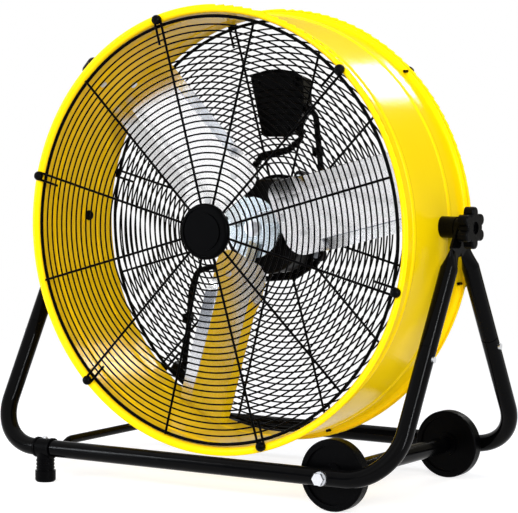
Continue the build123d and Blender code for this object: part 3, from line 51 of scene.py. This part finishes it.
# ---- studio -----------------------------------------------------------------------------
# White surroundings, a white floor that fades into them, soft boxes in front, at both sides and
# above, and plain cards for the bare metal and the gloss to mirror, as for a catalogue picture.
SKY_STRENGTH = 0.42           # as it lights the drum
FLOOR_RADIUS = 2.6
FADE_START = 0.7              # the floor thins out from here, measured from the middle
FADE_END = 2.4
FLOOR_GLOW = 0.42             # as it lights the drum
SEEN_GLOW = 0.32              # added where it is seen or mirrored
bpy.context.scene.view_settings.view_transform = "Standard"
world = bpy.data.worlds.new("studio")
bpy.context.scene.world = world
world.use_nodes = True
tree = world.node_tree
tree.nodes.clear()
rays = tree.nodes.new("ShaderNodeLightPath")
seen = tree.nodes.new("ShaderNodeMath")
seen.operation = "MAXIMUM"
mirrored = tree.nodes.new("ShaderNodeMath")
mirrored.operation = "MAXIMUM"
white = tree.nodes.new("ShaderNodeBackground")
white.inputs["Color"].default_value = (1.0, 1.0, 1.0, 1.0)
white.inputs["Strength"].default_value = 1.0
dim = tree.nodes.new("ShaderNodeBackground")
dim.inputs["Color"].default_value = (0.93, 0.96, 1.0, 1.0)
dim.inputs["Strength"].default_value = SKY_STRENGTH
blend = tree.nodes.new("ShaderNodeMixShader")
sky = tree.nodes.new("ShaderNodeOutputWorld")
tree.links.new(rays.outputs["Is Camera Ray"], seen.inputs[0])
tree.links.new(rays.outputs["Is Transmission Ray"], seen.inputs[1])
tree.links.new(seen.outputs[0], mirrored.inputs[0])
tree.links.new(rays.outputs["Is Glossy Ray"], mirrored.inputs[1])
tree.links.new(mirrored.outputs[0], blend.inputs["Fac"])
tree.links.new(dim.outputs[0], blend.inputs[1])
tree.links.new(white.outputs[0], blend.inputs[2])
tree.links.new(blend.outputs[0], sky.inputs["Surface"])

ground = bmesh.new()
bmesh.ops.create_circle(ground, cap_ends=True, segments=96, radius=FLOOR_RADIUS)
floor_mesh = bpy.data.meshes.new("floor")
ground.to_mesh(floor_mesh)
ground.free()
floor = bpy.data.objects.new("floor", floor_mesh)
bpy.context.collection.objects.link(floor)
paper = bpy.data.materials.new("white_paper")
paper.use_nodes = True
tree = paper.node_tree
tree.nodes.clear()
coordinates = tree.nodes.new("ShaderNodeTexCoord")
reach = tree.nodes.new("ShaderNodeVectorMath")
reach.operation = "LENGTH"
fade = tree.nodes.new("ShaderNodeMapRange")
fade.interpolation_type = "SMOOTHSTEP"
fade.inputs["From Min"].default_value = FADE_START
fade.inputs["From Max"].default_value = FADE_END
matt = tree.nodes.new("ShaderNodeBsdfDiffuse")
matt.inputs["Color"].default_value = (0.44, 0.44, 0.46, 1.0)
glow = tree.nodes.new("ShaderNodeEmission")
glow.inputs["Color"].default_value = (1.0, 1.0, 1.0, 1.0)
both = tree.nodes.new("ShaderNodeAddShader")
rays = tree.nodes.new("ShaderNodeLightPath")
shown = tree.nodes.new("ShaderNodeMath")
shown.operation = "MAXIMUM"
lift = tree.nodes.new("ShaderNodeMath")
lift.operation = "MULTIPLY_ADD"
lift.inputs[1].default_value = SEEN_GLOW
lift.inputs[2].default_value = FLOOR_GLOW
gone = tree.nodes.new("ShaderNodeBsdfTransparent")
blend = tree.nodes.new("ShaderNodeMixShader")
sheet = tree.nodes.new("ShaderNodeOutputMaterial")
tree.links.new(coordinates.outputs["Object"], reach.inputs[0])
tree.links.new(reach.outputs["Value"], fade.inputs["Value"])
tree.links.new(rays.outputs["Is Camera Ray"], shown.inputs[0])
tree.links.new(rays.outputs["Is Glossy Ray"], shown.inputs[1])
tree.links.new(shown.outputs[0], lift.inputs[0])
tree.links.new(lift.outputs[0], glow.inputs["Strength"])
tree.links.new(matt.outputs[0], both.inputs[0])
tree.links.new(glow.outputs[0], both.inputs[1])
tree.links.new(fade.outputs["Result"], blend.inputs["Fac"])
tree.links.new(both.outputs[0], blend.inputs[1])
tree.links.new(gone.outputs[0], blend.inputs[2])
tree.links.new(blend.outputs[0], sheet.inputs["Surface"])
floor_mesh.materials.append(paper)


def soft_box(name, place, width, height, watts, colour, mirrored):
    """A rectangular lamp that faces the drum: it lights the colours, or else is only mirrored."""
    lamp = bpy.data.lights.new(name, "AREA")
    lamp.shape = "RECTANGLE"
    lamp.size = width
    lamp.size_y = height
    lamp.energy = watts
    lamp.color = colour
    holder = bpy.data.objects.new(name, lamp)
    holder.visible_glossy = mirrored
    holder.visible_diffuse = not mirrored
    way = Vector(place) - DRUM_CENTRE
    holder.matrix_world = Matrix.Translation(place) @ way.to_track_quat("Z", "Y").to_matrix().to_4x4()
    bpy.context.collection.objects.link(holder)


soft_box(
    "front_box", (-0.4, -3.0, 1.5), width=1.6, height=1.2,
    watts=64.0, colour=(1.0, 0.99, 0.98), mirrored=False,
)
soft_box(
    "key_box", (2.3, -2.5, 1.3), width=1.0, height=1.0,
    watts=86.0, colour=(1.0, 0.99, 0.97), mirrored=False,
)
soft_box(
    "top_box", (0.0, -0.3, 2.8), width=1.4, height=1.4,
    watts=28.0, colour=(1.0, 1.0, 1.0), mirrored=False,
)
soft_box(
    "side_strip", (2.9, -1.0, 1.2), width=0.10, height=2.2,
    watts=70.0, colour=(0.94, 0.97, 1.0), mirrored=True,
)
soft_box(
    "rear_top_box", (0.3, 2.25, 1.9), width=0.55, height=0.35,
    watts=34.0, colour=(1.0, 1.0, 1.0), mirrored=True,
)
soft_box(
    "left_strip", (-2.2, -2.6, 0.9), width=0.10, height=2.2,
    watts=40.0, colour=(0.90, 0.95, 1.0), mirrored=True,
)


def mirrored_card(name, place, width, height, tone):
    """A plain card that faces the drum and is only seen in mirroring surfaces."""
    board = bmesh.new()
    bmesh.ops.create_grid(board, x_segments=1, y_segments=1, size=0.5)
    bmesh.ops.scale(board, vec=(width, height, 1.0), verts=board.verts)
    way = Vector(place) - DRUM_CENTRE
    turn = way.to_track_quat("Z", "Y").to_matrix().to_4x4()
    bmesh.ops.transform(board, matrix=Matrix.Translation(place) @ turn, verts=board.verts)
    shape = bpy.data.meshes.new(name)
    board.to_mesh(shape)
    board.free()
    card = bpy.data.objects.new(name, shape)
    bpy.context.collection.objects.link(card)
    colour = bpy.data.materials.new(name)
    colour.use_nodes = True
    inner = colour.node_tree
    inner.nodes.clear()
    plain = inner.nodes.new("ShaderNodeEmission")
    plain.inputs["Color"].default_value = tone
    end = inner.nodes.new("ShaderNodeOutputMaterial")
    inner.links.new(plain.outputs[0], end.inputs["Surface"])
    shape.materials.append(colour)
    for kind in ("visible_camera", "visible_diffuse", "visible_transmission", "visible_shadow"):
        setattr(card, kind, False)


mirrored_card("left_card", (-2.3, -2.25, 0.05), width=1.5, height=1.3, tone=(0.40, 0.42, 0.46, 1.0))
mirrored_card("low_card", (-1.5, -2.7, -1.3), width=1.6, height=1.2, tone=(0.66, 0.66, 0.68, 1.0))
mirrored_card("near_card", (-0.33, -1.04, 0.24), width=0.55, height=0.42, tone=(0.30, 0.33, 0.38, 1.0))
mirrored_card("white_card", (-0.05, -2.8, 1.65), width=1.7, height=1.5, tone=(1.7, 1.7, 1.7, 1.0))
mirrored_card("rear_card", (0.0, 2.9, 1.05), width=3.8, height=2.3, tone=(0.30, 0.28, 0.22, 1.0))


# ---- drum shell -------------------------------------------------------------------------
# Sheet steel rolled to a drum, its lips flared and their edges rolled round, powder coated yellow.
# The coat has a faint orange peel and a little dust on top, rolling leaves faint waves round the
# drum, and a deeper gold is painted on the inside and the underside as painted shade and bounce light.
def coat_group():
    """Powder coat: tone that drifts, dust on upward faces, uneven gloss and orange peel."""
    made = bpy.data.node_groups.new("powder_coat", "ShaderNodeTree")
    face = made.interface
    face.new_socket("Colour", in_out="INPUT", socket_type="NodeSocketColor")
    face.new_socket("Deep Colour", in_out="INPUT", socket_type="NodeSocketColor")
    face.new_socket("Dust", in_out="INPUT", socket_type="NodeSocketFloat")
    face.new_socket("Roughness", in_out="INPUT", socket_type="NodeSocketFloat")
    face.new_socket("Grain", in_out="INPUT", socket_type="NodeSocketFloat")
    face.new_socket("Colour", in_out="OUTPUT", socket_type="NodeSocketColor")
    face.new_socket("Roughness", in_out="OUTPUT", socket_type="NodeSocketFloat")
    face.new_socket("Height", in_out="OUTPUT", socket_type="NodeSocketFloat")
    add = made.nodes.new
    link = made.links.new
    start = add("NodeGroupInput")
    end = add("NodeGroupOutput")
    where = add("ShaderNodeTexCoord")
    drift = add("ShaderNodeTexNoise")
    drift.inputs["Scale"].default_value = 7.0
    drift.inputs["Detail"].default_value = 4.0
    peel = add("ShaderNodeTexNoise")
    peel.inputs["Detail"].default_value = 2.0
    fine = add("ShaderNodeTexNoise")
    fine.inputs["Scale"].default_value = 120.0
    fine.inputs["Detail"].default_value = 5.0
    for pattern in (drift, peel, fine):
        link(where.outputs["Object"], pattern.inputs["Vector"])
    link(start.outputs["Grain"], peel.inputs["Scale"])
    tone = add("ShaderNodeMix")
    tone.data_type = "RGBA"
    link(drift.outputs["Fac"], tone.inputs["Factor"])
    link(start.outputs["Colour"], tone.inputs["A"])
    link(start.outputs["Deep Colour"], tone.inputs["B"])
    split = add("ShaderNodeSeparateXYZ")
    link(where.outputs["Normal"], split.inputs[0])
    upward = add("ShaderNodeMapRange")
    upward.inputs["From Min"].default_value = 0.35
    upward.inputs["From Max"].default_value = 1.0
    link(split.outputs["Z"], upward.inputs["Value"])
    settled = add("ShaderNodeMath")
    settled.operation = "MULTIPLY"
    link(upward.outputs["Result"], settled.inputs[0])
    link(fine.outputs["Fac"], settled.inputs[1])
    amount = add("ShaderNodeMath")
    amount.operation = "MULTIPLY"
    link(settled.outputs[0], amount.inputs[0])
    link(start.outputs["Dust"], amount.inputs[1])
    dusty = add("ShaderNodeMix")
    dusty.data_type = "RGBA"
    dusty.inputs["B"].default_value = (0.62, 0.60, 0.56, 1.0)
    link(amount.outputs[0], dusty.inputs["Factor"])
    link(tone.outputs["Result"], dusty.inputs["A"])
    link(dusty.outputs["Result"], end.inputs["Colour"])
    gloss = add("ShaderNodeMath")
    gloss.operation = "MULTIPLY_ADD"
    gloss.inputs[1].default_value = 0.12
    link(fine.outputs["Fac"], gloss.inputs[0])
    link(start.outputs["Roughness"], gloss.inputs[2])
    more = add("ShaderNodeMath")
    more.operation = "ADD"
    link(gloss.outputs[0], more.inputs[0])
    link(amount.outputs[0], more.inputs[1])
    link(more.outputs[0], end.inputs["Roughness"])
    link(peel.outputs["Fac"], end.inputs["Height"])
    return made


powder_coat = coat_group()


def enamel(name, colour, deep, roughness, grain, depth, dust, specular):
    """A painted finish; grain is the orange peel's scale per metre, depth its height in metres."""
    made = bpy.data.materials.new(name)
    made.use_nodes = True
    inner = made.node_tree
    skin = inner.nodes["Principled BSDF"]
    layer = inner.nodes.new("ShaderNodeGroup")
    layer.node_tree = powder_coat
    layer.inputs["Colour"].default_value = (*colour, 1.0)
    layer.inputs["Deep Colour"].default_value = (*deep, 1.0)
    layer.inputs["Dust"].default_value = dust
    layer.inputs["Roughness"].default_value = roughness
    layer.inputs["Grain"].default_value = grain
    bump = inner.nodes.new("ShaderNodeBump")
    bump.inputs["Distance"].default_value = depth
    bump.inputs["Strength"].default_value = 0.5
    inner.links.new(layer.outputs["Colour"], skin.inputs["Base Color"])
    inner.links.new(layer.outputs["Roughness"], skin.inputs["Roughness"])
    inner.links.new(layer.outputs["Height"], bump.inputs["Height"])
    inner.links.new(bump.outputs["Normal"], skin.inputs["Normal"])
    skin.inputs["Specular IOR Level"].default_value = specular
    return made


def dress(names, finish):
    """Give CAD nodes a finish."""
    for name in names:
        for place in nodes[name].material_slots:
            place.material = finish


def paint_shade_and_roll(finish):
    """Painted shade: a deeper gold on the inside and on downward faces, for shade and bounce light; and
    waves of rolling under the orange peel.
    """
    inner = finish.node_tree
    skin = inner.nodes["Principled BSDF"]
    place = inner.nodes.new("ShaderNodeTexCoord")
    spot = inner.nodes.new("ShaderNodeVectorMath")
    spot.operation = "SUBTRACT"
    spot.inputs[1].default_value = DRUM_CENTRE
    outward = inner.nodes.new("ShaderNodeVectorMath")
    outward.operation = "DOT_PRODUCT"
    inside_shade = inner.nodes.new("ShaderNodeMapRange")
    inside_shade.inputs["From Min"].default_value = 0.05
    inside_shade.inputs["From Max"].default_value = -0.10
    # Painted shade: a deeper gold is mixed in on the inside and on downward faces, standing in for shade
    # and bounce light.
    painted_shade = inner.nodes.new("ShaderNodeMix")
    painted_shade.data_type = "RGBA"
    painted_shade.inputs["B"].default_value = (1.0, 0.64, 0.005, 1.0)
    rolled = inner.nodes.new("ShaderNodeMapping")
    rolled.inputs["Scale"].default_value = (1.2, 70.0, 1.2)
    waves = inner.nodes.new("ShaderNodeTexNoise")
    waves.inputs["Scale"].default_value = 1.0
    waves.inputs["Detail"].default_value = 3.0
    ripple = inner.nodes.new("ShaderNodeBump")
    ripple.inputs["Distance"].default_value = 0.0006
    ripple.inputs["Strength"].default_value = 0.5
    paint = skin.inputs["Base Color"].links[0].from_socket
    peel = skin.inputs["Normal"].links[0].from_node
    inner.links.new(place.outputs["Object"], spot.inputs[0])
    inner.links.new(spot.outputs["Vector"], outward.inputs[0])
    inner.links.new(place.outputs["Normal"], outward.inputs[1])
    inner.links.new(outward.outputs["Value"], inside_shade.inputs["Value"])
    # Downward faces also get the painted shade.
    heights = inner.nodes.new("ShaderNodeSeparateXYZ")
    underside_shade = inner.nodes.new("ShaderNodeMapRange")
    underside_shade.inputs["From Min"].default_value = 0.1
    underside_shade.inputs["From Max"].default_value = -0.8
    underside_shade.inputs["To Max"].default_value = 0.6
    shade_amount = inner.nodes.new("ShaderNodeMath")
    shade_amount.operation = "MAXIMUM"
    inner.links.new(place.outputs["Normal"], heights.inputs[0])
    inner.links.new(heights.outputs["Z"], underside_shade.inputs["Value"])
    inner.links.new(inside_shade.outputs["Result"], shade_amount.inputs[0])
    inner.links.new(underside_shade.outputs["Result"], shade_amount.inputs[1])
    inner.links.new(shade_amount.outputs[0], painted_shade.inputs["Factor"])
    inner.links.new(paint, painted_shade.inputs["A"])
    inner.links.new(painted_shade.outputs["Result"], skin.inputs["Base Color"])
    inner.links.new(place.outputs["Object"], rolled.inputs["Vector"])
    inner.links.new(rolled.outputs["Vector"], waves.inputs["Vector"])
    inner.links.new(waves.outputs["Fac"], ripple.inputs["Height"])
    inner.links.new(ripple.outputs["Normal"], peel.inputs["Normal"])


yellow = enamel(
    "yellow_powder_coat", (0.97, 0.705, 0.002), (0.94, 0.65, 0.002),
    roughness=0.12, grain=900.0, depth=0.00006, dust=0.01, specular=0.05,
)
# The shell and the plates get the painted shade: a deeper gold inside and underneath.
paint_shade_and_roll(yellow)
dress(["drum_shell", "pivot_backing_plates"], yellow)

# ---- stand ------------------------------------------------------------------------------
# Round steel tube, bent, and flattened where it laps at the pivots, powder coated in gloss black.
# The pivots' collars, washers and bolts and the guards' screws are black too.
stand_black = enamel(
    "stand_black", (0.0006, 0.0006, 0.0007), (0.0012, 0.0012, 0.0014),
    roughness=0.08, grain=800.0, depth=0.00003, dust=0.003, specular=0.05,
)
dress(
    [f"{hand}_upper_leg_{end}" for hand in ("left", "right") for end in ("front", "rear")]
    + [f"{hand}_{end}_corner_tube" for hand in ("left", "right") for end in ("front", "rear")]
    + ["front_rail", "rear_rail", "left_brace", "axle_tube", "pivot_collars", "pivot_washers",
       "pivot_bolts", "guard_screws"],
    stand_black,
)

# ---- guards -----------------------------------------------------------------------------
# Welded steel wire, dipped and stoved in satin black, and the plates that it carries.
guard_black = enamel(
    "guard_black", (0.0004, 0.0004, 0.0005), (0.0008, 0.0008, 0.0010),
    roughness=0.26, grain=1200.0, depth=0.0001, dust=0.002, specular=0.02,
)
dress(
    ["front_guard_spokes", "front_guard_rings", "rear_guard_spokes", "rear_guard_rings",
     "front_guard_disc", "motor_plate", "box_plate", "box_clamps_and_screws"],
    guard_black,
)

# ---- motor ------------------------------------------------------------------------------
# Steel can and cast end bells, sprayed satin black.
motor_black = enamel(
    "motor_black", (0.002, 0.002, 0.0022), (0.004, 0.004, 0.0044),
    roughness=0.34, grain=500.0, depth=0.0002, dust=0.005, specular=0.05,
)
dress(["motor_housing", "motor_front_bell", "motor_rear_bell"], motor_black)


# ---- moulded plastic --------------------------------------------------------------------
# Caps, knobs, handle and control box: black plastic with a fine spark-eroded grain. The
# capacitor in the box has a pale case.
def moulded(name, colour, roughness, grain, depth, specular=0.4):
    """Moulded plastic or rubber with a fine grain and slightly uneven gloss."""
    made = bpy.data.materials.new(name)
    made.use_nodes = True
    inner = made.node_tree
    skin = inner.nodes["Principled BSDF"]
    where = inner.nodes.new("ShaderNodeTexCoord")
    spark = inner.nodes.new("ShaderNodeTexNoise")
    spark.inputs["Scale"].default_value = grain
    spark.inputs["Detail"].default_value = 6.0
    spark.inputs["Roughness"].default_value = 0.7
    cloud = inner.nodes.new("ShaderNodeTexNoise")
    cloud.inputs["Scale"].default_value = 24.0
    tone = inner.nodes.new("ShaderNodeMix")
    tone.data_type = "RGBA"
    tone.inputs["A"].default_value = (*colour, 1.0)
    tone.inputs["B"].default_value = (*(value * 2.4 for value in colour), 1.0)
    gloss = inner.nodes.new("ShaderNodeMapRange")
    gloss.inputs["To Min"].default_value = roughness - 0.06
    gloss.inputs["To Max"].default_value = roughness + 0.08
    bump = inner.nodes.new("ShaderNodeBump")
    bump.inputs["Distance"].default_value = depth
    for pattern in (spark, cloud):
        inner.links.new(where.outputs["Object"], pattern.inputs["Vector"])
    inner.links.new(cloud.outputs["Fac"], tone.inputs["Factor"])
    inner.links.new(cloud.outputs["Fac"], gloss.inputs["Value"])
    inner.links.new(tone.outputs["Result"], skin.inputs["Base Color"])
    inner.links.new(gloss.outputs["Result"], skin.inputs["Roughness"])
    inner.links.new(spark.outputs["Fac"], bump.inputs["Height"])
    inner.links.new(bump.outputs["Normal"], skin.inputs["Normal"])
    skin.inputs["Specular IOR Level"].default_value = specular
    return made


black_plastic = moulded(
    "black_plastic", (0.0004, 0.0004, 0.0005), roughness=0.26, grain=1500.0, depth=0.0002, specular=0.05
)
dress(
    ["guard_caps", "left_clamp_knob", "right_clamp_knob", "carry_handle", "box_cover",
     "lead_glands_and_clips", "outlet_gland", "speed_knob", "rotary_switch"],
    black_plastic,
)
capacitor_case = moulded("capacitor_case", (0.55, 0.55, 0.52), roughness=0.4, grain=600.0, depth=0.0001)
dress(["capacitor"], capacitor_case)

# ---- wheels, feet and leads ---------------------------------------------------------------
# Solid black rubber wheels and feet, and the leads' black jackets.
wheel_rubber = moulded(
    "wheel_rubber", (0.0003, 0.0003, 0.0004), roughness=0.30, grain=900.0, depth=0.0003, specular=0.03
)
dress(["front_wheel", "rear_wheel", "front_foot", "rear_foot", "motor_lead", "supply_lead"], wheel_rubber)


# ---- blades and hub -----------------------------------------------------------------------
# Rolled aluminium sheet with fine lines along each blade, and plated steel fasteners. The steel
# inside the motor has the fasteners' finish.
def metal(name, colour, roughness, turn, lines, depth):
    """Bare metal with fine lines along its own X, turned about Y by turn degrees."""
    made = bpy.data.materials.new(name)
    made.use_nodes = True
    inner = made.node_tree
    skin = inner.nodes["Principled BSDF"]
    where = inner.nodes.new("ShaderNodeTexCoord")
    turned = inner.nodes.new("ShaderNodeMapping")
    turned.inputs["Rotation"].default_value = (0.0, math.radians(turn), 0.0)
    stretched = inner.nodes.new("ShaderNodeMapping")
    stretched.inputs["Scale"].default_value = lines
    brush = inner.nodes.new("ShaderNodeTexNoise")
    brush.inputs["Scale"].default_value = 1.0
    brush.inputs["Detail"].default_value = 5.0
    cloud = inner.nodes.new("ShaderNodeTexNoise")
    cloud.inputs["Scale"].default_value = 11.0
    cloud.inputs["Detail"].default_value = 3.0
    tone = inner.nodes.new("ShaderNodeMix")
    tone.data_type = "RGBA"
    tone.inputs["A"].default_value = (*(value * 0.82 for value in colour), 1.0)
    tone.inputs["B"].default_value = (*colour, 1.0)
    gloss = inner.nodes.new("ShaderNodeMapRange")
    gloss.inputs["To Min"].default_value = roughness - 0.08
    gloss.inputs["To Max"].default_value = roughness + 0.10
    bump = inner.nodes.new("ShaderNodeBump")
    bump.inputs["Distance"].default_value = depth
    inner.links.new(where.outputs["Object"], turned.inputs["Vector"])
    inner.links.new(turned.outputs["Vector"], stretched.inputs["Vector"])
    inner.links.new(stretched.outputs["Vector"], brush.inputs["Vector"])
    inner.links.new(where.outputs["Object"], cloud.inputs["Vector"])
    inner.links.new(brush.outputs["Fac"], tone.inputs["Factor"])
    inner.links.new(cloud.outputs["Fac"], gloss.inputs["Value"])
    inner.links.new(tone.outputs["Result"], skin.inputs["Base Color"])
    inner.links.new(gloss.outputs["Result"], skin.inputs["Roughness"])
    inner.links.new(brush.outputs["Fac"], bump.inputs["Height"])
    inner.links.new(bump.outputs["Normal"], skin.inputs["Normal"])
    skin.inputs["Metallic"].default_value = 1.0
    return made


BLADE_COUNT = 3
FIRST_BLADE = 14.0            # degrees above +X, seen from the front
for index in range(BLADE_COUNT):
    blade_turn = FIRST_BLADE + 360.0 / BLADE_COUNT * index
    dress(
        [f"blade_{index + 1}"],
        metal(
            f"blade_aluminium_{index + 1}", (0.93, 0.93, 0.94), roughness=0.16,
            turn=blade_turn, lines=(4.0, 260.0, 260.0), depth=0.000004,
        ),
    )
hub_aluminium = metal(
    "hub_aluminium", (0.70, 0.76, 0.79), roughness=0.22,
    turn=0.0, lines=(500.0, 500.0, 500.0), depth=0.00002,
)
dress(["hub_spider"], hub_aluminium)
zinc = metal(
    "zinc_plate", (0.74, 0.75, 0.77), roughness=0.28,
    turn=0.0, lines=(300.0, 300.0, 300.0), depth=0.00005,
)
dress(
    ["stand_screws", "axle_rod", "axle_nut_and_washers", "motor_ear_screws", "handle_screws",
     "hub_bolt", "blade_rivets", "motor_shaft", "motor_bearings",
     "motor_stator", "motor_rotor_core"],
    zinc,
)
